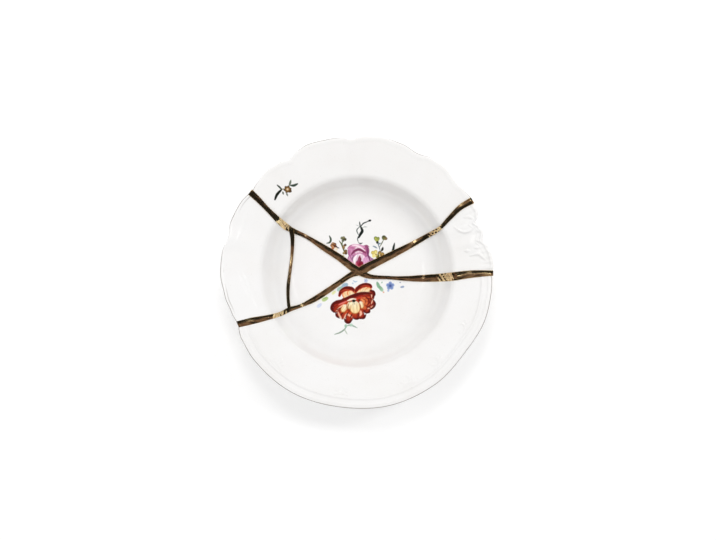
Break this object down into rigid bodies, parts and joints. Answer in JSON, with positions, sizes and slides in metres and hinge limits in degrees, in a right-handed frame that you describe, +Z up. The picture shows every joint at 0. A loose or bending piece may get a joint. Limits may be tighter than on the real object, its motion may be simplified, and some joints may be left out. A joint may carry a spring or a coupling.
{
  "type": "kintsugi deep plate",
  "caption": "Deep rim soup plate pieced together from porcelain shards of different plates, held by broad raised gold seams; for food or display.",
  "frame": {"origin": "middle of the plate's outline, on the plane that the foot ring stands on", "axes": "+Z up out of the well; +Y towards the large plain scalloped shard; +X towards the rocaille shard with the deep lobes"},
  "size_m": [0.241, 0.2402, 0.0396],
  "materials": {
    "glaze": "gloss",
    "gold": "polished"
  },
  "bodies": {
    "root": {"shard_top": "glaze", "shard_right": "glaze", "shard_bottom": "glaze", "shard_left": "glaze", "shard_wedge": "glaze", "gold_seam": "gold"}
  },
  "joints": []
}
